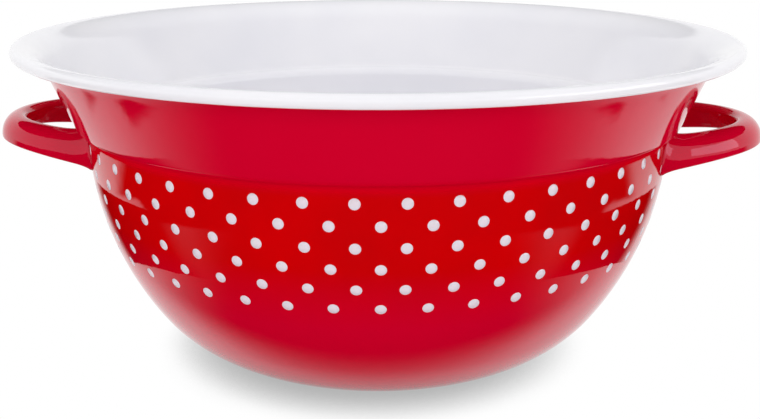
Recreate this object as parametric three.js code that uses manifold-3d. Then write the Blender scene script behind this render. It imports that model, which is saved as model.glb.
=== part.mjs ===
// Enamelled steel mixing bowl with a rolled rim and two welded loop handles.
// Millimetres, +Z up. The origin is under the middle of the base, on the table. The handles lie on X.
import * as THREE from 'three';
import { mergeVertices } from 'three/addons/utils/BufferGeometryUtils.js';
import Module from 'manifold-3d';

const wasm = await Module();
wasm.setup();

// The sheet: deep-drawn steel with fired enamel on both faces.
const STEEL_THICKNESS = 0.9;
const ENAMEL_THICKNESS = 0.25;
const BOND_GAP = 0.02;

// The bowl's outline, on its enamelled surfaces.
const RIM_DIAMETER = 320;
const BOWL_HEIGHT = 145.3;
const UPPER_BAND_HEIGHT = 40.2;
const BODY_DIAMETER = 261.4;
const BODY_ARC_RADIUS = 136;
const BASE_CORNER_RADIUS = 62;
const STANDING_RING_WIDTH = 13;
const BASE_RECESS_DEPTH = 1.2;
const BASE_RECESS_SLOPE_WIDTH = 3;

// The step under the upper band: the wall turns out at a crease and up again over a fold.
const STEP_TURN = THREE.MathUtils.degToRad(76);
const CREASE_RADIUS = 3;
const FOLD_RADIUS = 4.3;

// The flared brim and its rolled edge.
const BEAD_RADIUS = 2.7;
const FLARE_RADIUS = 16;
const FLARE_RISE = THREE.MathUtils.degToRad(11);
const CURL_GAP = 0.6;

// The handles: sheet pressed to a channel that is open below, bent to a loop.
const HANDLE_SHEET = 1.5;
const HANDLE_PROJECTION = 43.8;
const HANDLE_WIDTH = 94;
const HANDLE_RIDGE_DROP = 0.7;
const RIDGE_RISE_TO_TIP = 2.2;
const RIDGE_RADIUS = 3;
const RIDGE_INSET_ROOT = 5;
const RIDGE_INSET_TIP = 8.9;
const SKIRT_DEPTH_ROOT = 12.8;
const SKIRT_DEPTH_TIP = 6.6;
const LIP_DEPTH_ROOT = 10;
const LIP_DEPTH_TIP = 5.5;
const SKIRT_CROWN_SHARE = 0.6;
const SKIRT_BULGE_SHARE = 0.25;
const HANDLE_ROOT_SINK = 5.5;
const WELD_TAB_THICKNESS = 1.2;
const SEAT_GAP = 0.3;

// How finely round forms are divided.
const ROUND_SIDES = 40;
const ARC_STEPS = { corner: 5, body: 5, crease: 3, fold: 2, flare: 2, curl: 8 };
const LOOP_STEPS = 22;
const SECTION_STEPS = { lip: 1, ridge: 2, skirt: 4 };
const WELD_TOLERANCE = 1e-4;

const RED_ENAMEL = { color: 0xc3001e, roughness: 0.08, metalness: 0 };
const WHITE_ENAMEL = { color: 0xecebef, roughness: 0.1, metalness: 0 };
const BLACK_STEEL = { color: 0x6f7276, roughness: 0.45, metalness: 1 };

// Depths into the sheet, counted from its white face towards its red face.
const WHITE_FACE = 0;
const LINING_BACK = ENAMEL_THICKNESS;
const STEEL_INSIDE = LINING_BACK + BOND_GAP;
const STEEL_OUTSIDE = STEEL_INSIDE + STEEL_THICKNESS;
const COAT_BACK = STEEL_OUTSIDE + BOND_GAP;
const RED_FACE = COAT_BACK + ENAMEL_THICKNESS;

const polar = (centre, radius, angle) =>
  new THREE.Vector2(centre.x + radius * Math.cos(angle), centre.y + radius * Math.sin(angle));

// The sheet's cross-section as a chain of tangent arcs from the base to the rim's curl.
// An arc that bulges outwards is given by its red face's radius, and one that hollows by its white face's.
function sheetArcs() {
  const quarter = Math.PI / 2;
  const stepLevel = BOWL_HEIGHT - UPPER_BAND_HEIGHT;
  const bodyCentre = new THREE.Vector2(BODY_DIAMETER / 2 - BODY_ARC_RADIUS, stepLevel);
  const acrossSquared =
    (BODY_ARC_RADIUS - stepLevel) * (BODY_ARC_RADIUS + stepLevel - 2 * BASE_CORNER_RADIUS);
  const cornerCentre = new THREE.Vector2(bodyCentre.x + Math.sqrt(acrossSquared), BASE_CORNER_RADIUS);
  const cornerEnd = Math.atan2(cornerCentre.y - bodyCentre.y, cornerCentre.x - bodyCentre.x);

  const creaseCentre = new THREE.Vector2(BODY_DIAMETER / 2 + CREASE_RADIUS, stepLevel);
  const creaseEnd = Math.PI - STEP_TURN;
  const foldCentre = polar(creaseCentre, CREASE_RADIUS + FOLD_RADIUS, creaseEnd);

  const beadCentre = new THREE.Vector2(RIM_DIAMETER / 2 - BEAD_RADIUS, BOWL_HEIGHT - BEAD_RADIUS);
  const flareEnd = FLARE_RISE + quarter;
  const flareReach = FLARE_RADIUS - BEAD_RADIUS;
  const flareCentre = polar(beadCentre, -flareReach, flareEnd);

  // The cone between fold and flare is the line that passes between their circles and touches both.
  const span = flareCentre.clone().sub(foldCentre);
  const coneLean = Math.acos((FOLD_RADIUS + FLARE_RADIUS - RED_FACE) / span.length()) - span.angle();

  // The curl turns until its edge is CURL_GAP short of the flare's red face.
  const room = FLARE_RADIUS - RED_FACE - CURL_GAP;
  const curlCosine = (room ** 2 - flareReach ** 2 - BEAD_RADIUS ** 2) / (2 * flareReach * BEAD_RADIUS);
  const curlEnd = flareEnd - (2 * Math.PI - Math.acos(curlCosine));

  return {
    corner: { centre: cornerCentre, red: BASE_CORNER_RADIUS, from: -quarter, to: cornerEnd },
    body: { centre: bodyCentre, red: BODY_ARC_RADIUS, from: cornerEnd, to: 0 },
    crease: { centre: creaseCentre, white: CREASE_RADIUS + RED_FACE, from: Math.PI, to: creaseEnd },
    fold: { centre: foldCentre, red: FOLD_RADIUS, from: -STEP_TURN, to: -coneLean },
    flare: { centre: flareCentre, white: FLARE_RADIUS, from: Math.PI - coneLean, to: flareEnd },
    curl: { centre: beadCentre, white: BEAD_RADIUS, from: flareEnd, to: curlEnd },
  };
}

const ARCS = sheetArcs();
const WALL = ['corner', 'body', 'crease', 'fold', 'flare'];

// One named arc's points at a depth into the sheet.
function arcLine(name, depth) {
  const arc = ARCS[name];
  const steps = ARC_STEPS[name];
  const radius = arc.red === undefined ? arc.white - depth : arc.red - (RED_FACE - depth);
  const points = [];
  for (let i = 0; i <= steps; i += 1) {
    points.push(polar(arc.centre, radius, THREE.MathUtils.lerp(arc.from, arc.to, i / steps)));
  }
  return points;
}

// A run of tangent arcs at one depth. Where two arcs meet, their shared point is kept once.
function sheetLine(names, depth) {
  return names.flatMap((name, i) => arcLine(name, depth).slice(i === 0 ? 0 : 1));
}

// The base from the axis to the corner: a raised middle inside the ring that the bowl stands on.
function baseLine(depth) {
  const rise = RED_FACE - depth;
  const ringOuter = ARCS.corner.centre.x;
  const ringInner = ringOuter - STANDING_RING_WIDTH;
  return [
    new THREE.Vector2(0, rise + BASE_RECESS_DEPTH),
    new THREE.Vector2(ringInner - BASE_RECESS_SLOPE_WIDTH, rise + BASE_RECESS_DEPTH),
    new THREE.Vector2(ringInner, rise),
    new THREE.Vector2(ringOuter, rise),
  ];
}

// Spins a closed outline, given anticlockwise with radius across and height up, about Z.
function turned(outline) {
  return new THREE.LatheGeometry(outline, ROUND_SIDES).rotateX(Math.PI / 2);
}

// The layer of the sheet between two depths, along one run of its cross-section.
function layer(line, inner, outer) {
  const outline = [...line(outer), ...line(inner).reverse()];
  if (outline[0].x > 0) outline.push(outline[0].clone());
  return turned(outline);
}

const baseAndWall = (depth) => [...baseLine(depth), ...sheetLine(WALL, depth).slice(1)];
const baseToCurl = (depth) => [...baseAndWall(depth), ...arcLine('curl', depth).slice(1)];
const wallOnly = (depth) => sheetLine(WALL, depth);

function steelShell() {
  return layer(baseToCurl, STEEL_INSIDE, STEEL_OUTSIDE);
}

function whiteLining() {
  return layer(baseToCurl, WHITE_FACE, LINING_BACK);
}

function redCoat() {
  return layer(wallOnly, COAT_BACK, RED_FACE);
}

function baseCoat() {
  return layer(baseLine, COAT_BACK, RED_FACE);
}

function toSolid(geometry) {
  const bare = geometry.clone().deleteAttribute('normal').deleteAttribute('uv');
  const merged = mergeVertices(bare, WELD_TOLERANCE);
  const mesh = new wasm.Mesh({
    numProp: 3,
    vertProperties: new Float32Array(merged.attributes.position.array),
    triVerts: new Uint32Array(merged.index.array),
  });
  return new wasm.Manifold(mesh);
}

function toGeometry(solid) {
  const mesh = solid.getMesh();
  const geometry = new THREE.BufferGeometry();
  geometry.setAttribute('position', new THREE.BufferAttribute(mesh.vertProperties, 3));
  geometry.setIndex(new THREE.BufferAttribute(mesh.triVerts, 1));
  geometry.computeVertexNormals();
  return geometry;
}

// The bowl's filled body, grown by a gap, which the handles' ends are cut to fit.
function bowlEnvelope(gap) {
  const line = baseAndWall(RED_FACE + gap);
  const top = line[line.length - 1];
  return toSolid(turned([...line, new THREE.Vector2(0, top.y)]));
}

// The channel's middle line at a place along the loop, as distance outwards and height from the ridge's
// centre: the inner lip, the round ridge and the bulging outer skirt. share is 0 at the roots and 1 at the tip.
function channelCurves(share) {
  const round = RIDGE_RADIUS - HANDLE_SHEET / 2;
  const skirtOut = THREE.MathUtils.lerp(RIDGE_INSET_ROOT, RIDGE_INSET_TIP, share) - HANDLE_SHEET / 2;
  const skirtShare = 1 - (1 - share) ** 2;
  const skirtDepth = THREE.MathUtils.lerp(SKIRT_DEPTH_ROOT, SKIRT_DEPTH_TIP, skirtShare);
  const lipDepth = THREE.MathUtils.lerp(LIP_DEPTH_ROOT, LIP_DEPTH_TIP, share ** 3);
  const lip = new THREE.LineCurve(new THREE.Vector2(-round, -lipDepth), new THREE.Vector2(-round, 0));
  const ridge = new THREE.QuadraticBezierCurve(
    new THREE.Vector2(-round, 0),
    new THREE.Vector2(-round, round),
    new THREE.Vector2(0, round),
  );
  const skirt = new THREE.CubicBezierCurve(
    new THREE.Vector2(0, round),
    new THREE.Vector2(skirtOut * SKIRT_CROWN_SHARE, round),
    new THREE.Vector2(skirtOut, -skirtDepth * SKIRT_BULGE_SHARE),
    new THREE.Vector2(skirtOut, -skirtDepth),
  );
  return { lip, ridge, skirt };
}

// The section's outline: both faces of the channel's sheet, or its outer face closed straight across below.
function channelOutline(share, filled) {
  const outer = [];
  const inner = [];
  Object.entries(channelCurves(share)).forEach(([part, curve], order) => {
    const steps = SECTION_STEPS[part];
    for (let i = order === 0 ? 0 : 1; i <= steps; i += 1) {
      const point = curve.getPoint(i / steps);
      const along = curve.getTangent(i / steps);
      const across = new THREE.Vector2(-along.y, along.x).multiplyScalar(HANDLE_SHEET / 2);
      outer.push(point.clone().add(across));
      inner.push(point.clone().sub(across));
    }
  });
  return filled ? outer : [...outer, ...inner.reverse()];
}

// Carries the section round the loop, half an ellipse in plan, and closes both ends.
function handleLoft(filled) {
  const bodyRadius = BODY_DIAMETER / 2;
  const halfWidth = HANDLE_WIDTH / 2;
  const rootX = Math.sqrt(bodyRadius ** 2 - halfWidth ** 2) - HANDLE_ROOT_SINK;
  const ridgeX = bodyRadius + HANDLE_PROJECTION - RIDGE_INSET_TIP - rootX;
  const ridgeY = halfWidth - RIDGE_INSET_ROOT;
  const ridgeZ = BOWL_HEIGHT - UPPER_BAND_HEIGHT - HANDLE_RIDGE_DROP;
  const rings = [];
  for (let i = 0; i <= LOOP_STEPS; i += 1) {
    const turn = Math.PI * (i / LOOP_STEPS - 0.5);
    const share = Math.cos(turn);
    const centre = new THREE.Vector3(
      rootX + ridgeX * share,
      ridgeY * Math.sin(turn),
      ridgeZ + RIDGE_RISE_TO_TIP * share,
    );
    const out = new THREE.Vector2(ridgeY * share, ridgeX * Math.sin(turn)).normalize();
    rings.push(
      channelOutline(share, filled).map(
        (p) => new THREE.Vector3(centre.x + out.x * p.x, centre.y + out.y * p.x, centre.z + p.y),
      ),
    );
  }
  return lofted(rings);
}

// Joins rings of equal count into one closed body, with both ends filled by their own outline.
function lofted(rings) {
  const count = rings[0].length;
  const triangles = [];
  for (let i = 0; i + 1 < rings.length; i += 1) {
    for (let j = 0; j < count; j += 1) {
      const a = i * count + j;
      const b = i * count + ((j + 1) % count);
      triangles.push(a, b, a + count, b, b + count, a + count);
    }
  }
  const flat = rings[0].map((p) => new THREE.Vector2(-p.y, p.z));
  const cap = THREE.ShapeUtils.triangulateShape(flat, []);
  const last = (rings.length - 1) * count;
  cap.forEach(([a, b, c]) => triangles.push(a, b, c, last + a, last + c, last + b));
  const geometry = new THREE.BufferGeometry().setFromPoints(rings.flat());
  geometry.setIndex(triangles);
  return geometry;
}

// One handle: the channel cut to the wall, with tabs turned in against the wall where it is welded.
function handle() {
  const seat = bowlEnvelope(SEAT_GAP);
  const tabReach = bowlEnvelope(SEAT_GAP + WELD_TAB_THICKNESS).subtract(seat);
  const channel = toSolid(handleLoft(false)).subtract(seat);
  const tabs = toSolid(handleLoft(true)).intersect(tabReach);
  return toGeometry(channel.add(tabs));
}

function piece(name, geometry, finish) {
  const mesh = new THREE.Mesh(geometry, new THREE.MeshStandardMaterial(finish));
  mesh.name = name;
  return mesh;
}

const handleShape = handle();
const rightHandle = piece('right_handle', handleShape, RED_ENAMEL);
const leftHandle = piece('left_handle', handleShape.clone(), RED_ENAMEL);
leftHandle.rotation.z = Math.PI;

const bowl = new THREE.Group();
bowl.name = 'enamel_bowl';
bowl.add(
  piece('steel_shell', steelShell(), BLACK_STEEL),
  piece('white_lining', whiteLining(), WHITE_ENAMEL),
  piece('red_coat', redCoat(), RED_ENAMEL),
  piece('base_coat', baseCoat(), RED_ENAMEL),
  rightHandle,
  leftHandle,
);

export default bowl;
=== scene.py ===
"""Enamelled steel bowl with a rolled white rim, printed dots and two pressed loop handles.

Every piece is a surface worked out with numpy in metres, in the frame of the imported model.
"""

import bpy
import numpy as np
from bpy.props import FloatProperty, FloatVectorProperty, IntProperty, PointerProperty
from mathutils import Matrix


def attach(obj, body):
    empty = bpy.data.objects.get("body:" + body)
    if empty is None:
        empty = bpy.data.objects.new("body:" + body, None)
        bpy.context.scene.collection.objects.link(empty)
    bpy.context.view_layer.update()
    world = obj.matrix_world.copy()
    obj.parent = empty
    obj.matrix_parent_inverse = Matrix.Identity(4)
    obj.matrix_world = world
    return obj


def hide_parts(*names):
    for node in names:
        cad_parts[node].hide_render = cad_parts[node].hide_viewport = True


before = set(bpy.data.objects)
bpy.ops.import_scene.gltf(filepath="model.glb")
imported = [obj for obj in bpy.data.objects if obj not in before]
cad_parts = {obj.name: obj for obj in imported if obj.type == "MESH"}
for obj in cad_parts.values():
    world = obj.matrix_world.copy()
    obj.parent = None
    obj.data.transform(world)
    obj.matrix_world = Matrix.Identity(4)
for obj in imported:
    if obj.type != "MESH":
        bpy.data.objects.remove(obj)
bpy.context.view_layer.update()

bl_info = {
    "name": "Enamel bowl",
    "version": (1, 0, 0),
    "blender": (4, 5, 0),
    "location": "3D View > Sidebar > Enamel Bowl",
    "description": "Builds a dotted enamel bowl with two loop handles on its packed frame",
    "category": "Add Mesh",
}

MM = 0.001

# How finely the surfaces are divided: points, sides and rows, then the longest step along a cross-section.
# An arc turns by ARC_TURN radians at most from point to point.
ROUND_SIDES = 288
ARC_POINTS = 4
ARC_TURN = 0.09
SLOPE_POINTS = 9
LOOP_SAMPLES = 721
LOOP_ROWS = 181
LIP_POINTS = 7
RIDGE_POINTS = 9
SKIRT_POINTS = 19
EDGE_POINTS = 8
DOT_SIDES = 20
DISC_SIDES = 96
STEEL_STEP = 6 * MM
LINING_STEP = 1.9 * MM
WALL_STEP = 1.4 * MM
BASE_STEP = 3 * MM
BASE_BACK_STEP = 8 * MM
BACK_STEP = 12 * MM
TRIM_STEP = 1.0 * MM
PRINT_STEP = 0.5 * MM

# Points nearer than this to each other, or to the axis, are one point.
SAME_POINT = 1e-6
ON_AXIS = 1e-9

# The handle's loop: how far its rows crowd towards the roots, and where the skirt's curve is pulled to.
ROOT_CROWDING = 0.45
SKIRT_CROWN_SHARE = 0.6
SKIRT_BULGE_SHARE = 0.25


def linear(code):
    """Turns an sRGB hex colour into linear red, green and blue."""
    value = np.array([int(code[i:i + 2], 16) for i in (1, 3, 5)]) / 255
    return tuple(np.where(value <= 0.04045, value / 12.92, ((value + 0.055) / 1.055) ** 2.4))


def length(name, description, default_mm):
    """A length that the sidebar shows, given in millimetres."""
    return FloatProperty(
        name=name, description=description, default=default_mm * MM, min=0.0, unit="LENGTH", precision=5
    )


def angle(name, description, degrees):
    """An angle that the sidebar shows, given in degrees."""
    return FloatProperty(name=name, description=description, default=np.radians(degrees), subtype="ANGLE")


def colour(name, description, code):
    """A colour that the sidebar shows, given as sRGB hex."""
    return FloatVectorProperty(
        name=name, description=description, default=linear(code), size=3, min=0.0, max=1.0, subtype="COLOR"
    )


class BowlSizes(bpy.types.PropertyGroup):
    """Sizes of the drawn sheet and the enamel on it."""

    steel: length("Steel", "Thickness of the drawn sheet", 0.9)
    enamel: length("Enamel", "Thickness of each enamel coat", 0.25)
    bond: length("Bond", "Gap between a coat and the sheet", 0.02)
    rim_diameter: length("Rim", "Diameter across the rolled rim", 319.9)
    height: length("Height", "Height from the table to the top of the rim", 145.2)
    upper_band: length("Upper band", "Height of the band above the body", 40.1)
    body_diameter: length("Body", "Diameter of the body at its top", 261.4)
    body_arc: length("Body arc", "Radius of the wall's long curve", 136)
    base_corner: length("Base corner", "Radius of the curve into the base", 62)
    standing_ring: length("Standing ring", "Width of the ring that the bowl stands on", 13)
    recess: length("Recess", "Rise of the base's middle", 1.2)
    recess_slope: length("Recess slope", "Width of the slope up to the base's middle", 3)
    step_turn: angle("Step turn", "How far the wall turns out at the step under the upper band", 76)
    crease: length("Crease", "Radius of the step's hollow", 3)
    fold: length("Fold", "Radius of the step's outer edge", 4.3)
    bead: length("Bead", "Radius of the rolled rim", 2.65)
    flare: length("Flare", "Radius of the brim's flare", 16)
    flare_rise: angle("Flare rise", "Slope of the brim where the roll starts", 11)
    curl_gap: length("Curl gap", "Gap between the curl's edge and the brim", 0.6)


class HandleSizes(bpy.types.PropertyGroup):
    """Sizes of the pressed loop handles."""

    sheet: length("Sheet", "Thickness of the handle with its enamel", 1.5)
    projection: length("Projection", "Reach of the loop from the body", 43.7)
    width: length("Width", "Width of the loop at the wall", 94)
    ridge_drop: length("Ridge drop", "Depth of the ridge's centre under the body's top, at the roots", 0.7)
    ridge_rise: length("Ridge rise", "Rise of the ridge from root to tip", 2.2)
    ridge: length("Ridge", "Outer radius of the ridge", 3)
    inset_root: length("Inset at root", "Ridge to outer edge at the roots", 5)
    inset_tip: length("Inset at tip", "Ridge to outer edge at the tip", 8.9)
    skirt_root: length("Skirt at root", "Depth of the outer skirt at the roots", 12.8)
    skirt_tip: length("Skirt at tip", "Depth of the outer skirt at the tip", 6.6)
    lip_root: length("Lip at root", "Depth of the inner lip at the roots", 10)
    lip_tip: length("Lip at tip", "Depth of the inner lip at the tip", 5.5)
    root_sink: length("Root sink", "How far the loop's ends run into the wall", 5.5)
    weld_length: length("Weld length", "How far the enamelled weld runs along the loop", 7)
    weld_height: length("Weld height", "How far the enamelled weld swells at the wall", 1.6)
    root_bite: length("Root bite", "How far the trimmed ends reach under the wall's surface", 0.5)


class DotSizes(bpy.types.PropertyGroup):
    """The printed dots."""

    diameter: length("Diameter", "Diameter of a dot", 4.45)
    print_height: length("Print height", "How far a dot stands proud of the wall", 0.03)
    rows: IntProperty(name="Rows", description="Rows of dots", default=6, min=1)
    per_print: IntProperty(
        name="Dots in a row", description="Dots in a row of each of the two prints", default=22, min=1
    )
    spacing: angle("Spacing", "Turn from one dot to the next in a row", 8.257)
    top_row: length("Top row", "Height of the top row", 102.565)
    row_step: length("Row step", "Height between rows", 8.563)
    turn: angle("Turn", "Turn of the pattern, from the front towards the right handle", -1.35)
    slant: length("Slant", "How far the print runs up on its high side", 1.87)
    slant_turn: angle("Slant turn", "Where the print's high side is, from the front", 146.2)
    root_clear: length("Root clearance", "Bare wall left beside a handle's root", 0.3)


class EnamelColours(bpy.types.PropertyGroup):
    """Colours of the enamels and the bare sheet."""

    red: colour("Red", "Red enamel on the body", "#D20004")
    red_thick: colour("Thick red", "Red enamel where it has run thicker", "#C80004")
    # On the wall this crimson is a painted reflection of the pale surround, above the step and towards the
    # base. On the handles it is their red all over.
    crimson: colour("Crimson", "Red enamel on the handles, the upper band and towards the base", "#D2002A")
    crimson_thick: colour("Thick crimson", "Crimson enamel where it has run thicker", "#C00024")
    ground: colour("Ground coat", "Dark ground coat that shows where enamel is thin", "#3A0A0C")
    white: colour("White", "White enamel inside and on the rim", "#F5F4F8")
    white_thin: colour("Thin white", "White enamel where it has run thin", "#E9E9F0")
    dots: colour("Dots", "White of the printed dots", "#EEE6F0")
    steel: colour("Steel", "Bare edge of the sheet", "#5A5B5E")


class StudioSettings(bpy.types.PropertyGroup):
    """The camera's place, the table and the dark cards that the enamel mirrors."""

    distance: length("Distance", "Level distance from the bowl's axis to the camera", 506.5)
    eye_height: length("Eye height", "Height of the camera over the table", 207.25)
    azimuth: angle("Azimuth", "Turn of the camera towards the right handle", 2.3)
    pitch: angle("Pitch", "How far the camera looks down", 16.04)
    lens: FloatProperty(
        name="Lens", description="Focal length on a 36 mm sensor", default=52.57, subtype="DISTANCE_CAMERA"
    )
    shift: FloatProperty(
        name="Shift", description="Sideways shift of the frame", default=0.0026, subtype="FACTOR"
    )
    floor: colour("Floor", "Pale table", "#F6F6F7")
    card: colour("Card", "Dark card that the enamel mirrors", "#0A0A0B")
    card_near: length("Card's near edge", "Distance from the axis to the dark card, at the front", 86)
    card_draw: length("Card's drawing back", "How much further off the dark card is at the sides", 60)
    card_fade: length("Card's fade", "Width of the dark card's soft edge", 30)
    card_far: length("Card's far part", "Distance from the axis to the part that goes round the sides", 248)
    strip_radius: length("Strip radius", "Distance from the axis to the low dark strips", 172)
    strip_height: length("Strip height", "Height of the low dark strips", 60)


class EnamelBowlSettings(bpy.types.PropertyGroup):
    """Every setting of the bowl."""

    bowl: PointerProperty(type=BowlSizes)
    handle: PointerProperty(type=HandleSizes)
    dots: PointerProperty(type=DotSizes)
    colours: PointerProperty(type=EnamelColours)
    studio: PointerProperty(type=StudioSettings)


def red_depth(bowl):
    """Depth of the red face, counted from the white face through both coats, their bonds and the sheet."""
    return 2 * (bowl.enamel + bowl.bond) + bowl.steel


def wall_arcs(bowl):
    """The sheet's cross-section as touching arcs: (centre, face its radius is for, radius, start, end).

    The wall's long curve and the base corner touch where the line of their centres meets them. The cone
    is the line that passes between the fold's and the flare's circles and touches both. The curl turns
    until its edge is short of the brim.
    """
    quarter = np.pi / 2
    red_face = red_depth(bowl)
    level = bowl.height - bowl.upper_band
    body = np.array([bowl.body_diameter / 2 - bowl.body_arc, level])
    across = (bowl.body_arc - level) * (bowl.body_arc + level - 2 * bowl.base_corner)
    corner = np.array([body[0] + np.sqrt(across), bowl.base_corner])
    corner_end = np.arctan2(corner[1] - body[1], corner[0] - body[0])
    crease = np.array([bowl.body_diameter / 2 + bowl.crease, level])
    crease_end = np.pi - bowl.step_turn
    fold = crease + (bowl.crease + bowl.fold) * np.array([np.cos(crease_end), np.sin(crease_end)])
    bead = np.array([bowl.rim_diameter / 2 - bowl.bead, bowl.height - bowl.bead])
    flare_end = bowl.flare_rise + quarter
    reach = bowl.flare - bowl.bead
    flare = bead - reach * np.array([np.cos(flare_end), np.sin(flare_end)])
    span = flare - fold
    lean = np.arccos((bowl.fold + bowl.flare - red_face) / np.hypot(*span)) - np.arctan2(span[1], span[0])
    room = bowl.flare - red_face - bowl.curl_gap
    cosine = (room ** 2 - reach ** 2 - bowl.bead ** 2) / (2 * reach * bowl.bead)
    curl_end = flare_end - (2 * np.pi - np.arccos(cosine))
    return {
        "corner": (corner, "red", bowl.base_corner, -quarter, corner_end),
        "body": (body, "red", bowl.body_arc, corner_end, 0.0),
        "crease": (crease, "white", bowl.crease + red_face, np.pi, crease_end),
        "fold": (fold, "red", bowl.fold, -bowl.step_turn, -lean),
        "flare": (flare, "white", bowl.flare, np.pi - lean, flare_end),
        "curl": (bead, "white", bowl.bead, flare_end, curl_end),
    }


WALL = ("corner", "body", "crease", "fold", "flare")


def eased(value, start, end):
    """0 before start, 1 after end, and a smooth S between them."""
    share = np.clip((value - start) / (end - start), 0.0, 1.0)
    return share * share * (3 - 2 * share)


def spaced(line, step):
    """The same polyline with points no further apart than step: each stretch is divided evenly."""
    runs = np.hypot(*np.diff(line, axis=0).T)
    counts = np.maximum(1, np.ceil(runs / step).astype(int))
    first = np.repeat(np.arange(len(runs)), counts)
    share = (np.arange(counts.sum()) - np.repeat(np.cumsum(counts) - counts, counts)) / counts[first]
    points = line[first] + share[:, None] * (line[first + 1] - line[first])
    return np.vstack((points, line[-1:]))


def wall_line(bowl, names, depth, step):
    """The cross-section's run of arcs at a depth into the sheet, counted from its white face."""
    arcs = wall_arcs(bowl)
    lines = []
    for name in names:
        centre, face, radius, start, end = arcs[name]
        radius = radius - depth if face == "white" else radius - (red_depth(bowl) - depth)
        sweep = abs(end - start)
        count = max(ARC_POINTS, int(np.ceil(sweep * radius / step)), int(np.ceil(sweep / ARC_TURN)))
        turn = np.linspace(start, end, count + 1)
        arc = centre + radius * np.column_stack((np.cos(turn), np.sin(turn)))
        meets = lines and np.hypot(*(arc[0] - lines[-1][-1])) <= SAME_POINT
        lines.append(arc[1:] if meets else arc)
    return spaced(np.vstack(lines), step)


def base_line(bowl, depth, step):
    """The base from the axis to the corner at a depth: raised middle, eased slope and the standing ring."""
    rise = red_depth(bowl) - depth
    outer = wall_arcs(bowl)["corner"][0][0]
    inner = outer - bowl.standing_ring
    slope = np.linspace(0.0, 1.0, SLOPE_POINTS)
    middle = spaced(np.array([[0.0, 0.0], [inner - bowl.recess_slope, 0.0]]), step)
    fall = np.column_stack((inner - bowl.recess_slope * (1 - slope), -bowl.recess * eased(slope, 0.0, 1.0)))
    ring = spaced(np.array([[inner, -bowl.recess], [outer, -bowl.recess]]), step)
    return np.vstack((middle, fall[1:], ring[1:])) + [0.0, rise + bowl.recess]


def whole_line(bowl, depth, step):
    """The whole cross-section at a depth, from the axis along the base and the wall to the curl's edge."""
    wall = wall_line(bowl, WALL + ("curl",), depth, step)
    return np.vstack((base_line(bowl, depth, step)[:-1], wall))


def turned(line, looped):
    """Spins a line of radius and height about Z. A point on the axis becomes one pole vertex.

    looped joins the line's end to its start. Faces are quads between neighbouring points and sides.
    """
    turn = np.arange(ROUND_SIDES) * (2 * np.pi / ROUND_SIDES)
    off_axis = line[:, 0] > ON_AXIS
    rows = np.where(off_axis, ROUND_SIDES, 1)
    start = np.cumsum(rows) - rows
    row = np.repeat(np.arange(len(line)), rows)
    side = np.arange(rows.sum()) - start[row]
    points = np.column_stack((
        line[row, 0] * np.sin(turn[side]), -line[row, 0] * np.cos(turn[side]), line[row, 1]
    ))
    ahead = np.arange(len(line) if looped else len(line) - 1)
    low, high = ahead, (ahead + 1) % len(line)
    a = np.arange(ROUND_SIDES)
    b = (a + 1) % ROUND_SIDES

    def corner(level, sides):
        return start[level][:, None] + np.where(off_axis[level][:, None], sides[None, :], 0)

    quads = np.stack((corner(low, a), corner(low, b), corner(high, b), corner(high, a)), axis=-1)
    full = off_axis[low] & off_axis[high]
    faces = quads[full].reshape(-1, 4).tolist()
    faces += quads[off_axis[low] & ~off_axis[high]][..., (0, 1, 2)].reshape(-1, 3).tolist()
    faces += quads[~off_axis[low] & off_axis[high]][..., (0, 2, 3)].reshape(-1, 3).tolist()
    return points, faces


def mesh_object(name, points, faces, material, smooth):
    """Puts points and faces into a mesh object of one material, which sits at the origin."""
    mesh = bpy.data.meshes.new(name)
    mesh.from_pydata(points, [], faces)
    mesh.polygons.foreach_set("use_smooth", np.full(len(mesh.polygons), smooth))
    mesh.materials.append(material)
    mesh.update()
    thing = bpy.data.objects.new(name, mesh)
    bpy.context.scene.collection.objects.link(thing)
    return thing


def new_piece(name, points, faces, material, nodes=()):
    """A smooth piece of the bowl that rides on the frame's one body and stands in for the named nodes."""
    piece = mesh_object(name, points, faces, material, smooth=True)
    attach(piece, "root")
    if nodes:
        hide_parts(*nodes)


def add_node(tree, kind, settings=None, inputs=None):
    """Adds a node, sets its properties, and links or sets its inputs."""
    node = tree.nodes.new(kind)
    for key, value in (settings or {}).items():
        setattr(node, key, value)
    for key, value in (inputs or {}).items():
        if isinstance(value, bpy.types.NodeSocket):
            tree.links.new(value, node.inputs[key])
        else:
            node.inputs[key].default_value = value
    return node


def empty_material(name):
    """A node material without nodes, and its tree."""
    material = bpy.data.materials.new(name)
    material.use_nodes = True
    material.node_tree.nodes.clear()
    return material, material.node_tree


def new_material(name):
    """A node material with its tree and its Principled shader, and the place that its patterns read."""
    material, tree = empty_material(name)
    shader = add_node(tree, "ShaderNodeBsdfPrincipled")
    add_node(tree, "ShaderNodeOutputMaterial", inputs={"Surface": shader.outputs["BSDF"]})
    place = add_node(tree, "ShaderNodeTexCoord").outputs["Object"]
    return material, tree, shader, place


def rgba(value):
    """A colour with full alpha."""
    return (*value, 1.0)


# Sizes of the patterns. The scratches and the print's grain are coarser than real ones, so that they show.
RED_CLOUD = 38 * MM
WHITE_CLOUD = 55 * MM
PICKLING_CLOUD = 9 * MM
SCRATCH = 1.6 * MM
SCREEN_GRAIN = 0.8 * MM

# Fired enamel's index of refraction, and the tint of the red's reflections.
ENAMEL_IOR = 1.5
RED_GLOSS = "#F4E6FF"

# Heights over which the red turns to the crimson tint, down towards the base and up past the step: a
# painted reflection that stands in for the pale surround the wall mirrors there.
REFLECTION_TINT_BELOW = (74 * MM, 48 * MM)
REFLECTION_TINT_ABOVE = (103 * MM, 111 * MM)

# The crease's matt band: where its soft edge ends, in half-widths, and the specular level beyond it.
DULL_EDGE = 1.3
FULL_GLOSS = 0.5

# How high over the table the base is rubbed.
RUBBED_HEIGHT = 0.35 * MM


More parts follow.
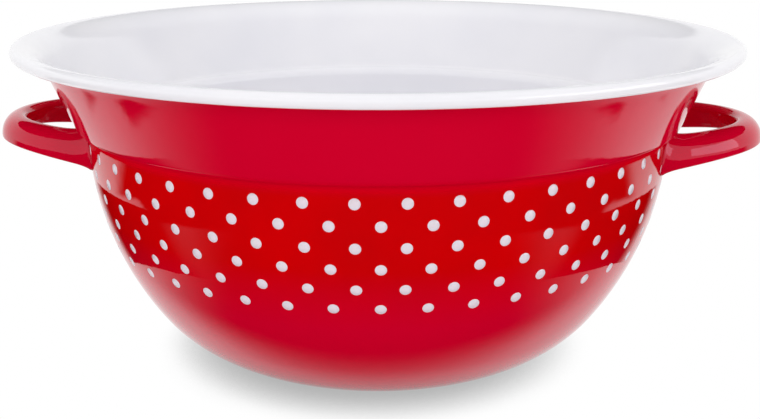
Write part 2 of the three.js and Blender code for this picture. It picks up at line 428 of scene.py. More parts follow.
def fired_surface(tree, place, peel_mm, peel_rise_mm, sag_mm, sag_rise_mm):
    """Normals of fired enamel: fine orange peel over slow sags, both noise, sized in millimetres."""
    peel = add_node(
        tree, "ShaderNodeTexNoise",
        inputs={"Vector": place, "Scale": 1 / (peel_mm * MM), "Detail": 1.0, "Roughness": 0.4},
    )
    sag = add_node(
        tree, "ShaderNodeTexNoise", inputs={"Vector": place, "Scale": 1 / (sag_mm * MM), "Detail": 0.0}
    )
    slow = add_node(
        tree, "ShaderNodeBump",
        inputs={"Height": sag.outputs["Fac"], "Strength": 1.0, "Distance": sag_rise_mm * MM},
    )
    fine = add_node(
        tree, "ShaderNodeBump",
        inputs={
            "Height": peel.outputs["Fac"], "Strength": 1.0, "Distance": peel_rise_mm * MM,
            "Normal": slow.outputs["Normal"],
        },
    )
    return fine.outputs["Normal"]


def red_enamel(name, main, thick, ends):
    """Fired red vitreous enamel, sprayed in one coat: a mirror gloss with a faint orange peel.

    The eye sees clean reflections that wave slightly, and a red that is deeper where the coat has run
    thick. Above and below the body's middle the red turns to the ends colour, a painted reflection of the
    pale surround.
    """
    material, tree, shader, place = new_material(name)
    cloud = add_node(
        tree, "ShaderNodeTexNoise", inputs={"Vector": place, "Scale": 1 / RED_CLOUD, "Detail": 2.0}
    )
    run = add_node(
        tree, "ShaderNodeMapRange",
        inputs={"Value": cloud.outputs["Fac"], "From Min": 0.35, "From Max": 0.65},
    )
    mix = add_node(
        tree, "ShaderNodeMix", {"data_type": "RGBA"},
        {"Factor": run.outputs["Result"], "A": rgba(main), "B": rgba(thick)},
    )
    height = add_node(tree, "ShaderNodeSeparateXYZ", inputs={"Vector": place}).outputs["Z"]
    below, above = (
        add_node(tree, "ShaderNodeMapRange", inputs={"Value": height, "From Min": start, "From Max": end})
        for start, end in (REFLECTION_TINT_BELOW, REFLECTION_TINT_ABOVE)
    )
    cool = add_node(
        tree, "ShaderNodeMath", {"operation": "MAXIMUM"},
        {0: below.outputs["Result"], 1: above.outputs["Result"]},
    )
    # Painted reflection: the ends colour is mixed in by height, above and below the body's middle.
    fade = add_node(
        tree, "ShaderNodeMix", {"data_type": "RGBA"},
        {"Factor": cool.outputs["Value"], "A": mix.outputs["Result"], "B": rgba(ends)},
    )
    tree.links.new(fade.outputs["Result"], shader.inputs["Base Color"])
    gloss = add_node(
        tree, "ShaderNodeMapRange",
        inputs={
            "Value": cloud.outputs["Fac"], "From Min": 0.3, "From Max": 0.7, "To Min": 0.03, "To Max": 0.07,
        },
    )
    tree.links.new(gloss.outputs["Result"], shader.inputs["Roughness"])
    shader.inputs["IOR"].default_value = ENAMEL_IOR
    shader.inputs["Specular Tint"].default_value = rgba(linear(RED_GLOSS))
    normal = fired_surface(tree, place, peel_mm=6.0, peel_rise_mm=0.035, sag_mm=34.0, sag_rise_mm=0.16)
    tree.links.new(normal, shader.inputs["Normal"])
    return material


def dull_band(material, middle, half):
    """Takes the gloss off a level band: enamel crawls back in a tight crease and fires matt there."""
    tree = material.node_tree
    place = add_node(tree, "ShaderNodeTexCoord").outputs["Object"]
    height = add_node(tree, "ShaderNodeSeparateXYZ", inputs={"Vector": place}).outputs["Z"]
    apart = add_node(tree, "ShaderNodeMath", {"operation": "SUBTRACT"}, {0: height, 1: middle})
    off = add_node(tree, "ShaderNodeMath", {"operation": "ABSOLUTE"}, {0: apart.outputs["Value"]})
    gloss = add_node(
        tree, "ShaderNodeMapRange",
        inputs={
            "Value": off.outputs["Value"], "From Min": half, "From Max": DULL_EDGE * half,
            "To Max": FULL_GLOSS,
        },
    )
    tree.links.new(gloss.outputs["Result"], tree.nodes["Principled BSDF"].inputs["Specular IOR Level"])


def white_enamel(colours):
    """Fired white vitreous enamel: opaque, cool white and glossy, a touch greyer where it is thin."""
    material, tree, shader, place = new_material("Fired white enamel")
    cloud = add_node(
        tree, "ShaderNodeTexNoise", inputs={"Vector": place, "Scale": 1 / WHITE_CLOUD, "Detail": 2.0}
    )
    thin = add_node(
        tree, "ShaderNodeMapRange",
        inputs={"Value": cloud.outputs["Fac"], "From Min": 0.4, "From Max": 0.75, "To Max": 0.5},
    )
    mix = add_node(
        tree, "ShaderNodeMix", {"data_type": "RGBA"},
        {"Factor": thin.outputs["Result"], "A": rgba(colours.white), "B": rgba(colours.white_thin)},
    )
    tree.links.new(mix.outputs["Result"], shader.inputs["Base Color"])
    shader.inputs["Roughness"].default_value = 0.1
    shader.inputs["IOR"].default_value = ENAMEL_IOR
    normal = fired_surface(tree, place, peel_mm=7.0, peel_rise_mm=0.03, sag_mm=40.0, sag_rise_mm=0.15)
    tree.links.new(normal, shader.inputs["Normal"])
    return material


def base_enamel(colours):
    """Fired red enamel under the base, rubbed dull and grey in fine scratches where the bowl stands."""
    material, tree, shader, place = new_material("Fired red enamel, rubbed base")
    height = add_node(tree, "ShaderNodeSeparateXYZ", inputs={"Vector": place}).outputs["Z"]
    ring = add_node(
        tree, "ShaderNodeMapRange", inputs={"Value": height, "From Min": RUBBED_HEIGHT, "From Max": 0.0}
    )
    scratch = add_node(
        tree, "ShaderNodeTexNoise", inputs={"Vector": place, "Scale": 1 / SCRATCH, "Detail": 5.0}
    )
    rubbed = add_node(
        tree, "ShaderNodeMath", {"operation": "MULTIPLY"},
        {0: ring.outputs["Result"], 1: scratch.outputs["Fac"]},
    )
    mix = add_node(
        tree, "ShaderNodeMix", {"data_type": "RGBA"},
        {"Factor": rubbed.outputs["Value"], "A": rgba(colours.red), "B": rgba(colours.ground)},
    )
    tree.links.new(mix.outputs["Result"], shader.inputs["Base Color"])
    dull = add_node(
        tree, "ShaderNodeMapRange", inputs={"Value": rubbed.outputs["Value"], "To Min": 0.06, "To Max": 0.7}
    )
    tree.links.new(dull.outputs["Result"], shader.inputs["Roughness"])
    shader.inputs["IOR"].default_value = ENAMEL_IOR
    return material


def dot_enamel(colours):
    """White enamel print: a thin screened film, fired on, glossy, with a faint grain from the screen."""
    material, tree, shader, place = new_material("Printed white enamel")
    grain = add_node(
        tree, "ShaderNodeTexNoise", inputs={"Vector": place, "Scale": 1 / SCREEN_GRAIN, "Detail": 2.0}
    )
    ramp = add_node(
        tree, "ShaderNodeMapRange", inputs={"Value": grain.outputs["Fac"], "To Min": 0.92, "To Max": 1.0}
    )
    mix = add_node(
        tree, "ShaderNodeMix", {"data_type": "RGBA", "blend_type": "MULTIPLY"},
        {"Factor": 1.0, "A": rgba(colours.dots), "B": ramp.outputs["Result"]},
    )
    tree.links.new(mix.outputs["Result"], shader.inputs["Base Color"])
    shader.inputs["Roughness"].default_value = 0.12
    shader.inputs["IOR"].default_value = ENAMEL_IOR
    return material


def sheet_steel(colours):
    """Pickled drawing steel: dull grey, with the faint cloud of the pickling bath."""
    material, tree, shader, place = new_material("Pickled sheet steel")
    cloud = add_node(
        tree, "ShaderNodeTexNoise", inputs={"Vector": place, "Scale": 1 / PICKLING_CLOUD, "Detail": 4.0}
    )
    mix = add_node(
        tree, "ShaderNodeMix", {"data_type": "RGBA"},
        {"Factor": cloud.outputs["Fac"], "A": rgba(colours.steel), "B": rgba(colours.ground)},
    )
    tree.links.new(mix.outputs["Result"], shader.inputs["Base Color"])
    shader.inputs["Metallic"].default_value = 1.0
    shader.inputs["Roughness"].default_value = 0.45
    return material


class EnamelBowlOperator:
    """What the operators share: they work on the scene's settings and can be undone."""

    bl_options = {"REGISTER", "UNDO"}


class MESH_OT_bowl_steel(EnamelBowlOperator, bpy.types.Operator):
    """Make the drawn steel sheet between the enamel coats"""

    bl_idname = "mesh.bowl_steel"
    bl_label = "Steel sheet"

    def execute(self, context):
        settings = context.scene.enamel_bowl
        bowl = settings.bowl
        inside = bowl.enamel + bowl.bond
        red_side = whole_line(bowl, inside + bowl.steel, STEEL_STEP)
        white_side = whole_line(bowl, inside, STEEL_STEP)
        points, faces = turned(np.vstack((red_side, white_side[::-1])), looped=False)
        new_piece("steel_sheet", points, faces, sheet_steel(settings.colours), ("steel_shell",))
        return {"FINISHED"}


class MESH_OT_bowl_lining(EnamelBowlOperator, bpy.types.Operator):
    """Make the white enamel over the inside, the brim and the rolled rim"""

    bl_idname = "mesh.bowl_lining"
    bl_label = "White lining"

    def execute(self, context):
        settings = context.scene.enamel_bowl
        bowl = settings.bowl
        back = whole_line(bowl, bowl.enamel, BACK_STEP)
        seen = whole_line(bowl, 0.0, LINING_STEP)
        points, faces = turned(np.vstack((back, seen[::-1])), looped=False)
        material = white_enamel(settings.colours)
        new_piece("white_enamel", points, faces, material, ("white_lining",))
        return {"FINISHED"}


class MESH_OT_bowl_wall(EnamelBowlOperator, bpy.types.Operator):
    """Make the red enamel over the outside of the wall"""

    bl_idname = "mesh.bowl_wall"
    bl_label = "Red wall"

    def execute(self, context):
        settings = context.scene.enamel_bowl
        bowl = settings.bowl
        tones = settings.colours
        face = red_depth(bowl)
        seen = wall_line(bowl, WALL, face, WALL_STEP)
        back = wall_line(bowl, WALL, face - bowl.enamel, BACK_STEP)
        points, faces = turned(np.vstack((seen, back[::-1])), looped=True)
        # The crimson passed last is the painted reflection tint for the upper band and the lower body.
        material = red_enamel("Fired red enamel", tones.red, tones.red_thick, tones.crimson)
        half = bowl.crease - bowl.steel
        dull_band(material, bowl.height - bowl.upper_band + half, half)
        new_piece("red_enamel", points, faces, material, ("red_coat",))
        return {"FINISHED"}


class MESH_OT_bowl_base(EnamelBowlOperator, bpy.types.Operator):
    """Make the enamel under the base, with the ring that the bowl stands on"""

    bl_idname = "mesh.bowl_base"
    bl_label = "Base"

    def execute(self, context):
        settings = context.scene.enamel_bowl
        bowl = settings.bowl
        face = red_depth(bowl)
        seen = base_line(bowl, face, BASE_STEP)
        back = base_line(bowl, face - bowl.enamel, BASE_BACK_STEP)
        points, faces = turned(np.vstack((seen, back[::-1])), looped=False)
        material = base_enamel(settings.colours)
        new_piece("base_enamel", points, faces, material, ("base_coat",))
        return {"FINISHED"}


def channel_ring(handle, share):
    """The channel's closed outline at each share of the way from root to tip, out and up from the ridge.

    The middle line is a straight inner lip, a quarter-round ridge and a cubic skirt. Both faces lie half a
    sheet to its sides, and a half circle rounds each edge.
    """
    half = handle.sheet / 2
    ridge = handle.ridge - half
    share = share[:, None]
    out = handle.inset_root + (handle.inset_tip - handle.inset_root) * share - half
    depth = handle.skirt_root + (handle.skirt_tip - handle.skirt_root) * (1 - (1 - share) ** 2)
    lip = handle.lip_root + (handle.lip_tip - handle.lip_root) * share ** 3
    up = np.linspace(0.0, 1.0, LIP_POINTS)[None, :]
    bend = np.linspace(np.pi, np.pi / 2, RIDGE_POINTS)[None, 1:]
    down = np.linspace(0.0, 1.0, SKIRT_POINTS)[None, 1:]
    first, second, third = 3 * (1 - down) ** 2 * down, 3 * (1 - down) * down ** 2, down ** 3
    ones = np.ones_like(share)
    sides = np.concatenate((
        -ridge * ones * np.ones_like(up),
        ridge * np.cos(bend) * ones,
        out * (first * SKIRT_CROWN_SHARE + second + third),
    ), axis=1)
    heights = np.concatenate((
        -lip * (1 - up),
        ridge * np.sin(bend) * ones,
        ridge * ((1 - down) ** 3 + first) - depth * (second * SKIRT_BULGE_SHARE + third),
    ), axis=1)
    middle = np.stack((sides, heights), -1)
    along = np.gradient(middle, axis=1)
    along /= np.linalg.norm(along, axis=-1, keepdims=True)
    across = np.stack((-along[..., 1], along[..., 0]), -1)
    turn = np.linspace(0.0, np.pi, EDGE_POINTS)[None, 1:-1, None]

    def edge(at, way):
        rounded = np.cos(turn) * across[:, at, None] + np.sin(turn) * along[:, at, None]
        return middle[:, at, None] + half * way * rounded

    outer, inner = middle + half * across, middle - half * across
    return np.concatenate((outer, edge(-1, 1), inner[:, ::-1], edge(0, -1)), axis=1)


def handle_surface(bowl, handle):
    """The loop: the channel's outline carried round half an ellipse, with each end trimmed to the wall.

    Every line along the loop is cut where it meets the wall. Near the wall it swells outwards along an
    ellipse, as enamel does over a weld, and its last point goes under the wall's surface.
    """
    body = bowl.body_diameter / 2
    half = handle.width / 2
    root = np.sqrt(body ** 2 - half ** 2) - handle.root_sink
    reach = body + handle.projection - handle.inset_tip - root
    wide = half - handle.inset_root
    level = bowl.height - bowl.upper_band - handle.ridge_drop
    turn = np.linspace(-np.pi / 2, np.pi / 2, LOOP_SAMPLES)
    share = np.cos(turn)
    ring = channel_ring(handle, share)
    out = np.column_stack((wide * share, reach * np.sin(turn)))
    out /= np.linalg.norm(out, axis=1, keepdims=True)
    lines = np.stack((
        (root + reach * share)[:, None] + out[:, None, 0] * ring[..., 0],
        (wide * np.sin(turn))[:, None] + out[:, None, 1] * ring[..., 0],
        (level + handle.ridge_rise * share)[:, None] + ring[..., 1],
    ), -1)
    wall = wall_line(bowl, WALL, red_depth(bowl), TRIM_STEP)

    def wall_radius(points):
        return np.interp(points[..., 2], wall[:, 1], wall[:, 0])

    clear = np.hypot(lines[..., 0], lines[..., 1]) > wall_radius(lines)
    first = clear.argmax(axis=0)
    last = len(turn) - 1 - clear[::-1].argmax(axis=0)
    steps = np.linspace(0.0, 1.0, LOOP_ROWS)
    even = 0.5 - 0.5 * np.cos(np.pi * steps)
    spread = (ROOT_CROWDING * even + (1 - ROOT_CROWDING) * steps)[:, None]
    at = first[None, :] + spread * (last - first)[None, :]
    low = np.floor(at).astype(int)
    part = (at - low)[..., None]
    column = np.arange(lines.shape[1])[None, :]
    shell = lines[low, column] * (1 - part) + lines[np.minimum(low + 1, len(turn) - 1), column] * part
    off = np.hypot(shell[..., 0], shell[..., 1]) - wall_radius(shell)
    near = np.clip(1 - off / handle.weld_length, 0.0, 1.0)
    swell = handle.weld_height * (1 - np.sqrt(1 - near ** 2))
    across = np.roll(shell, -1, axis=1) - np.roll(shell, 1, axis=1)
    normal = np.cross(across, np.gradient(shell, axis=0))
    normal /= np.linalg.norm(normal, axis=-1, keepdims=True)
    shell = shell + normal * swell[..., None]
    ends = shell[[0, -1]]
    bitten = (wall_radius(ends) - handle.root_bite) / np.hypot(ends[..., 0], ends[..., 1])
    shell[[0, -1], :, :2] = ends[..., :2] * bitten[..., None]
    return shell


def loft_faces(rows, columns):
    """Quads of a grid that closes across its columns, with its two ends filled by one face each."""
    r = np.arange(rows - 1)[:, None] * columns
    c = np.arange(columns)[None, :]
    d = (c + 1) % columns
    quads = np.stack((r + c, r + d, r + columns + d, r + columns + c), -1).reshape(-1, 4).tolist()
    ends = [list(range(columns))[::-1], list(range((rows - 1) * columns, rows * columns))]
    return quads + ends


class MESH_OT_bowl_handles(EnamelBowlOperator, bpy.types.Operator):
    """Make both loop handles: pressed channels, open below, with enamel over their welds"""

    bl_idname = "mesh.bowl_handles"
    bl_label = "Handles"

    def execute(self, context):
        settings = context.scene.enamel_bowl
        shell = handle_surface(settings.bowl, settings.handle)
        faces = loft_faces(*shell.shape[:2])
        tones = settings.colours
        material = red_enamel("Fired crimson enamel", tones.crimson, tones.crimson_thick, tones.crimson)
        for name, way in (("right_handle", 1.0), ("left_handle", -1.0)):
            points = shell.reshape(-1, 3) * [way, way, 1.0]
            new_piece(f"{name}_enamel", points, faces, material, (name,))
        return {"FINISHED"}


def dot_surface(bowl, handle, dots):
    """Thin discs that follow the wall: each point goes sideways by turn and up along the cross-section.

    A disc is its centre, a ring on its face and a ring sunk into the wall. Every second row sits half a
    step round. Two prints that are alike meet under the handles. Dots that a handle's root would cover
    are left out.
    """
    wall = wall_line(bowl, ("corner", "body", "crease"), red_depth(bowl), PRINT_STEP)
    run = np.concatenate(([0.0], np.cumsum(np.hypot(*np.diff(wall, axis=0).T))))
    slope = np.gradient(wall, axis=0)
    slope /= np.linalg.norm(slope, axis=1, keepdims=True)
    row = np.arange(dots.rows)
    first = np.ceil((-np.pi / 2 - dots.turn) / dots.spacing - 0.5 * (row % 2))
    order = first[:, None] + np.arange(dots.per_print)[None, :] + 0.5 * (row % 2)[:, None]
    turn = dots.turn + dots.spacing * order
    height = (dots.top_row - dots.row_step * row)[:, None] + dots.slant * np.cos(turn - dots.slant_turn)
    turn = np.concatenate((turn.ravel(), turn.ravel() + np.pi))
    height = np.tile(height.ravel(), 2)
    radius = dots.diameter / 2
    root_turn = np.arctan2(handle.width / 2 - handle.inset_root, bowl.body_diameter / 2)
    from_handle = np.abs(np.arcsin(np.cos(turn)))
    beside = np.abs(from_handle - root_turn) * bowl.body_diameter / 2
    low = bowl.height - bowl.upper_band - handle.ridge_drop - handle.skirt_root - radius
    keep = (beside > handle.inset_root + radius + dots.root_clear) | (height < low)
    height, turn = height[keep], turn[keep]
    centre = np.interp(height, wall[:, 1], run)
    around = np.arange(DOT_SIDES) * (2 * np.pi / DOT_SIDES)
    reach = np.repeat((0.0, radius - dots.print_height, radius), (1, DOT_SIDES, DOT_SIDES))
    way = np.concatenate(([0.0], around, around))
    lift = dots.print_height * np.repeat((1.0, 1.0, -1.0), (1, DOT_SIDES, DOT_SIDES))
    along = centre[:, None] + reach * np.sin(way)
    r = np.interp(along, run, wall[:, 0])
    z = np.interp(along, run, wall[:, 1])
    sideways = turn[:, None] + reach * np.cos(way) / r
    r = r + lift * np.interp(along, run, slope[:, 1])
    z = z - lift * np.interp(along, run, slope[:, 0])
    points = np.stack((r * np.sin(sideways), -r * np.cos(sideways), z), -1)
    a = 1 + np.arange(DOT_SIDES)
    b = 1 + (np.arange(DOT_SIDES) + 1) % DOT_SIDES
    fan = np.column_stack((np.zeros_like(a), a, b))
    edge = np.column_stack((a, a + DOT_SIDES, b + DOT_SIDES, b))
    under = a[::-1] + DOT_SIDES
    offset = np.arange(len(turn))[:, None, None] * points.shape[1]
    faces = (fan + offset).reshape(-1, 3).tolist()
    faces += (edge + offset).reshape(-1, 4).tolist()
    faces += (under + offset[:, 0]).tolist()
    return points.reshape(-1, 3), faces


class MESH_OT_bowl_dots(EnamelBowlOperator, bpy.types.Operator):
    """Print the staggered rows of dots round the wall"""

    bl_idname = "mesh.bowl_dots"
    bl_label = "Dots"

    def execute(self, context):
        settings = context.scene.enamel_bowl
        points, faces = dot_surface(settings.bowl, settings.handle, settings.dots)
        new_piece("printed_dots", points, faces, dot_enamel(settings.colours))
        return {"FINISHED"}


def seen_ray(tree):
    """1 for a ray of the camera, of gloss or of clear things, and 0 for a ray of scattered light."""
    path = add_node(tree, "ShaderNodeLightPath")
    gloss = add_node(
        tree, "ShaderNodeMath", {"operation": "MAXIMUM"},
        {0: path.outputs["Is Camera Ray"], 1: path.outputs["Is Glossy Ray"]},
    )
    return add_node(
        tree, "ShaderNodeMath", {"operation": "MAXIMUM"},
        {0: gloss.outputs["Value"], 1: path.outputs["Is Transmission Ray"]},
    ).outputs["Value"]


# The table's painted shade, worked out by an occlusion test: how far round the bowl it reaches, the way
# that its light leans, the samples it takes, the openness at which it ends, and its brightness where it is
# darkest.
SHADE_REACH = 0.032
SHADE_LEAN = {"X": 0.12, "Y": 0.04, "Z": 1.0}
SHADE_SAMPLES = 16
SHADE_END = 0.5
SHADE_DARKEST = 0.43


def floor_sheet(tone):
    """Pale matt table: to the camera and to gloss it glows white, with a painted shadow that an occlusion
    test greys where the bowl is near; scattered light sees it matt. It is clear from below.
    """
    material, tree = empty_material("Pale table")
    light = add_node(tree, "ShaderNodeCombineXYZ", inputs=SHADE_LEAN)
    shade = add_node(
        tree, "ShaderNodeAmbientOcclusion", {"samples": SHADE_SAMPLES},
        {"Distance": SHADE_REACH, "Normal": light.outputs["Vector"]},
    )
    level = add_node(
        tree, "ShaderNodeMapRange", {"interpolation_type": "SMOOTHSTEP"},
        {
            "Value": shade.outputs["AO"], "From Min": 0.0, "From Max": SHADE_END,
            "To Min": SHADE_DARKEST, "To Max": 1.0,
        },
    )
    # Painted shadow: the glow that the camera and gloss see is dimmed by the occlusion test, not by the
    # lamps.
    white = add_node(tree, "ShaderNodeEmission", inputs={"Strength": level.outputs["Result"]})
    matt = add_node(tree, "ShaderNodeBsdfDiffuse", inputs={"Color": rgba(tone)})
    mix = add_node(
        tree, "ShaderNodeMixShader",
        inputs={0: seen_ray(tree), 1: matt.outputs["BSDF"], 2: white.outputs["Emission"]},
    )
    under = add_node(tree, "ShaderNodeNewGeometry").outputs["Backfacing"]
    clear = add_node(tree, "ShaderNodeBsdfTransparent")
    sheet = add_node(
        tree, "ShaderNodeMixShader",
        inputs={0: under, 1: mix.outputs["Shader"], 2: clear.outputs["BSDF"]},
    )
    add_node(tree, "ShaderNodeOutputMaterial", inputs={"Surface": sheet.outputs["Shader"]})
    return material


def disc(radius, height):
    """A flat disc: one ring of points."""
    turn = np.arange(DISC_SIDES) * (2 * np.pi / DISC_SIDES)
    points = np.column_stack((radius * np.cos(turn), radius * np.sin(turn), np.full(DISC_SIDES, height)))
    return points, [list(range(DISC_SIDES))]


def grid_faces(rows, columns):
    """Quads of an open grid."""
    a = (np.arange(rows - 1)[:, None] * columns + np.arange(columns - 1)[None, :]).ravel()
    return np.column_stack((a, a + 1, a + columns + 1, a + columns)).tolist()


# The dark card: its points, its far part's soft edge, its lift off the table, and in degrees of turn from
# the front its reach, and where its near part thins out, its far part draws back and all of it fades.
CARD_COLUMNS = 107
CARD_FINE_ROWS = 51
CARD_FINE_REACH = 0.25
CARD_COARSE_REACH = (0.35, 0.6, 1.0, 1.5)
CARD_FAR_FADE = 0.02
CARD_LIFT = 0.4 * MM
CARD_REACH = 106.0
CARD_THINS = (38.0, 92.0)
CARD_DRAWS_BACK = (74.0, 86.0)
CARD_FADES = (94.0, 104.0)

# The low strips beside the bowl: their points, and the degrees of turn over which they start and end.
STRIP_COLUMNS = 61
STRIP_ROWS = 9
STRIP_STARTS = (44.0, 58.0)
STRIP_ENDS = (92.0, 104.0)

# The mesh attribute that says how dense a card is.
COVER = "cover"


def dark_card(studio):
    """A dark sheet on the table before the bowl, in polar steps from the front, and its cover at each step.

    Its inner edge draws back with the cosine of the turn. Its near part thins out towards the sides, and
    its far part reaches round to beside the bowl's back.
    """
    turn = np.radians(np.linspace(-CARD_REACH, CARD_REACH, CARD_COLUMNS))[:, None]
    fine = np.linspace(0.0, CARD_FINE_REACH, CARD_FINE_ROWS)
    inner = studio.card_near + studio.card_draw * (1 - np.cos(turn))
    radius = inner + np.concatenate((fine, CARD_COARSE_REACH))[None, :]
    lift = np.full_like(radius, CARD_LIFT)
    points = np.stack((radius * np.sin(turn), -radius * np.cos(turn), lift), -1)
    away = np.degrees(np.abs(turn))
    near = eased(radius, inner, inner + studio.card_fade) * (1 - eased(away, *CARD_THINS))
    outer = studio.card_far + studio.card_draw * eased(away, *CARD_DRAWS_BACK)
    far = eased(radius, outer, outer + CARD_FAR_FADE)
    cover = np.maximum(near, far) * (1 - eased(away, *CARD_FADES))
    return points.reshape(-1, 3), grid_faces(*radius.shape), cover.ravel()


def side_card(studio, way):
    """A low dark strip beside the bowl, bent round it, denser in its middle than at its ends."""
    away = np.linspace(STRIP_STARTS[0], STRIP_ENDS[1], STRIP_COLUMNS)[:, None]
    turn = np.radians(away) * way
    height = np.linspace(0.0, 1.0, STRIP_ROWS)[None, :] * studio.strip_height
    radius = studio.strip_radius
    points = np.stack(np.broadcast_arrays(radius * np.sin(turn), -radius * np.cos(turn), height), -1)
    cover = eased(away, *STRIP_STARTS) * (1 - eased(away, *STRIP_ENDS)) * np.ones_like(height)
    return points.reshape(-1, 3), grid_faces(*cover.shape), cover.ravel()


def upright(near, far, low, high):
    """A standing quad over the line between two points of the table, and full cover at its corners."""
    points = [(*near, low), (*far, low), (*far, high), (*near, high)]
    return points, [(0, 1, 2, 3)], np.ones(4)


def dark_sheet(tone):
    """Matt black card, clear where its cover is low."""
    material, tree = empty_material("Dark card")
    cover = add_node(tree, "ShaderNodeAttribute", {"attribute_name": COVER})
    clear = add_node(tree, "ShaderNodeBsdfTransparent")
    black = add_node(tree, "ShaderNodeBsdfDiffuse", inputs={"Color": rgba(tone)})
    mix = add_node(
        tree, "ShaderNodeMixShader",
        inputs={0: cover.outputs["Fac"], 1: clear.outputs["BSDF"], 2: black.outputs["BSDF"]},
    )
    add_node(tree, "ShaderNodeOutputMaterial", inputs={"Surface": mix.outputs["Shader"]})
    return material


def glowing_sheet(tone, strength):
    """White card that glows by itself, with no lamp on it: painted light, seen only in gloss, which the
    right handle mirrors as a highlight.
    """
    material, tree = empty_material("Pale card")
    lit = add_node(tree, "ShaderNodeEmission", inputs={"Color": rgba(tone), "Strength": strength})
    add_node(tree, "ShaderNodeOutputMaterial", inputs={"Surface": lit.outputs["Emission"]})
    return material


def stage_piece(name, points, faces, material):
    """A flat-shaded mesh object for the stage."""
    thing = mesh_object(name, points, faces, material, smooth=False)
    return thing


def flag(name, points, faces, cover, material):
    """A card that only gloss sees: it keeps no light from the bowl and stays out of the picture."""
    card = stage_piece(name, points, faces, material)
    field = card.data.attributes.new(COVER, "FLOAT", "POINT")
    field.data.foreach_set("value", cover)
    card.visible_camera = False
    card.visible_diffuse = False
    card.visible_shadow = False


def softbox(name, place, target, size, watts):
    """A soft lamp aimed at a point, which lights the bowl and is seen by neither the camera nor gloss."""
    lamp = bpy.data.lights.new(name, "AREA")
    lamp.shape = "RECTANGLE"
    lamp.size, lamp.size_y = size
    lamp.energy = watts
    thing = bpy.data.objects.new(name, lamp)
    bpy.context.scene.collection.objects.link(thing)
    way = np.asarray(target) - np.asarray(place)
    thing.location = place
    thing.rotation_euler = (np.arccos(-way[2] / np.linalg.norm(way)), 0.0, np.arctan2(-way[0], way[1]))
    thing.visible_camera = False
    thing.visible_glossy = False


# How bright the white surround is to scattered light and to what sees it.
SKY_SCATTERED = 0.49
SKY_SEEN = 1.0


def studio_world(scene):
    """Soft all-round light that the camera, the gloss and clear things see as plain white."""
    world = bpy.data.worlds.new("White studio")
    scene.world = world
    world.use_nodes = True
    tree = world.node_tree
    tree.nodes.clear()
    level = add_node(
        tree, "ShaderNodeMapRange",
        inputs={"Value": seen_ray(tree), "To Min": SKY_SCATTERED, "To Max": SKY_SEEN},
    )
    sky = add_node(
        tree, "ShaderNodeBackground",
        inputs={"Color": rgba((1.0, 1.0, 1.0)), "Strength": level.outputs["Result"]},
    )
    add_node(tree, "ShaderNodeOutputWorld", inputs={"Surface": sky.outputs["Background"]})


# The camera's sensor in millimetres, and its nearest sight in metres.
SENSOR_WIDTH = 36.0
NEAR_CLIP = 0.01


def studio_camera(scene, studio):
    """The camera, set off the bowl's axis, turned to face it and tilted down."""
    eye = bpy.data.cameras.new("camera")
    eye.sensor_fit = "HORIZONTAL"
    eye.sensor_width = SENSOR_WIDTH
    eye.lens = studio.lens
    eye.shift_x = studio.shift
    eye.clip_start = NEAR_CLIP
    camera = bpy.data.objects.new("camera", eye)
    scene.collection.objects.link(camera)
    across, back = np.sin(studio.azimuth), -np.cos(studio.azimuth)
    camera.location = (studio.distance * across, studio.distance * back, studio.eye_height)
    camera.rotation_euler = (np.pi / 2 - studio.pitch, 0.0, studio.azimuth)
    scene.camera = camera


# The stage's sizes and places, and how brightly the pale card glows by itself: painted light that gloss
# sees as a highlight.
TABLE_RADIUS = 0.8
CEILING_RADIUS = 1.5
CEILING_HEIGHT = 0.8
PALE_CARD = {"near": (1.2, -1.5), "far": (1.2, -0.05), "low": 0.12, "high": 0.62}
PALE_CARD_STRENGTH = 3.2

# Name, place, point aimed at, width and length, and watts of each soft lamp.
LAMPS = (
    ("top_softbox", (0.0, -0.05, 1.3), (0.0, 0.0, 0.08), (1.1, 0.9), 6.0),
    ("left_softbox", (-1.1, -0.8, 0.2), (0.0, 0.0, 0.06), (0.7, 0.9), 3.2),
    ("right_softbox", (1.1, -0.8, 0.2), (0.0, 0.0, 0.06), (0.7, 0.9), 3.8),
    ("front_softbox", (0.0, -1.3, 0.6), (0.0, 0.0, 0.08), (0.9, 0.5), 3.5),
)


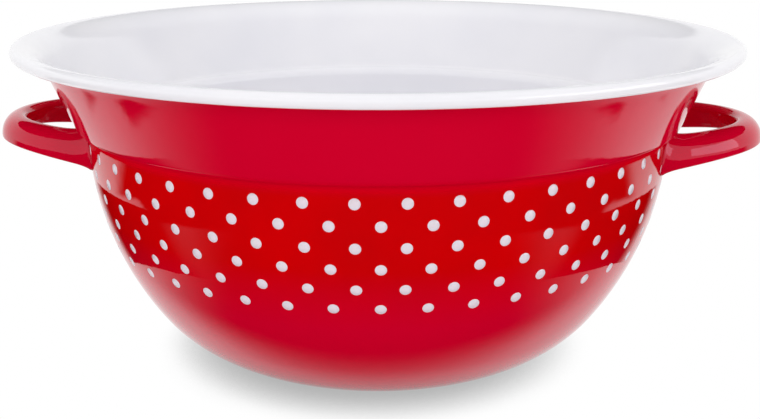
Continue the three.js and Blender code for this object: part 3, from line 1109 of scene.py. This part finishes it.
class SCENE_OT_bowl_stage(EnamelBowlOperator, bpy.types.Operator):
    """Set the table, the soft light and the camera"""

    bl_idname = "scene.bowl_stage"
    bl_label = "Stage"

    def execute(self, context):
        scene = context.scene
        studio = scene.enamel_bowl.studio
        stage_piece("table", *disc(TABLE_RADIUS, 0.0), floor_sheet(studio.floor))
        black = dark_sheet(studio.card)
        flag("dark_card", *dark_card(studio), black)
        flag("right_strip", *side_card(studio, 1.0), black)
        flag("left_strip", *side_card(studio, -1.0), black)
        flag("ceiling", *disc(CEILING_RADIUS, CEILING_HEIGHT), np.ones(DISC_SIDES), black)
        flag("pale_card", *upright(**PALE_CARD), glowing_sheet(studio.floor, PALE_CARD_STRENGTH))
        studio_world(scene)
        for lamp in LAMPS:
            softbox(*lamp)
        studio_camera(scene, studio)
        scene.view_settings.view_transform = "Standard"
        return {"FINISHED"}


OPERATORS = (
    MESH_OT_bowl_steel,
    MESH_OT_bowl_lining,
    MESH_OT_bowl_wall,
    MESH_OT_bowl_base,
    MESH_OT_bowl_handles,
    MESH_OT_bowl_dots,
    SCENE_OT_bowl_stage,
)


class VIEW3D_PT_enamel_bowl(bpy.types.Panel):
    """Lists the bowl's settings and the operators that make its pieces"""

    bl_idname = "VIEW3D_PT_enamel_bowl"
    bl_label = "Enamel Bowl"
    bl_space_type = "VIEW_3D"
    bl_region_type = "UI"
    bl_category = "Enamel Bowl"

    def draw(self, context):
        settings = context.scene.enamel_bowl
        for group in (settings.bowl, settings.handle, settings.dots, settings.colours, settings.studio):
            box = self.layout.box()
            for key in group.__annotations__:
                box.prop(group, key)
        for operator in OPERATORS:
            self.layout.operator(operator.bl_idname)


CLASSES = (
    BowlSizes,
    HandleSizes,
    DotSizes,
    EnamelColours,
    StudioSettings,
    EnamelBowlSettings,
    *OPERATORS,
    VIEW3D_PT_enamel_bowl,
)


def register():
    """Registers the classes and puts the settings on the scene."""
    for cls in CLASSES:
        bpy.utils.register_class(cls)
    bpy.types.Scene.enamel_bowl = PointerProperty(type=EnamelBowlSettings)


def unregister():
    """Takes the settings off the scene and the classes away."""
    del bpy.types.Scene.enamel_bowl
    for cls in reversed(CLASSES):
        bpy.utils.unregister_class(cls)


def main():
    """Makes every piece and the stage."""
    register()
    bpy.ops.mesh.bowl_steel()
    bpy.ops.mesh.bowl_lining()
    bpy.ops.mesh.bowl_wall()
    bpy.ops.mesh.bowl_base()
    bpy.ops.mesh.bowl_handles()
    bpy.ops.mesh.bowl_dots()
    bpy.ops.scene.bowl_stage()
    bpy.context.view_layer.update()


if __name__ == "__main__":
    main()
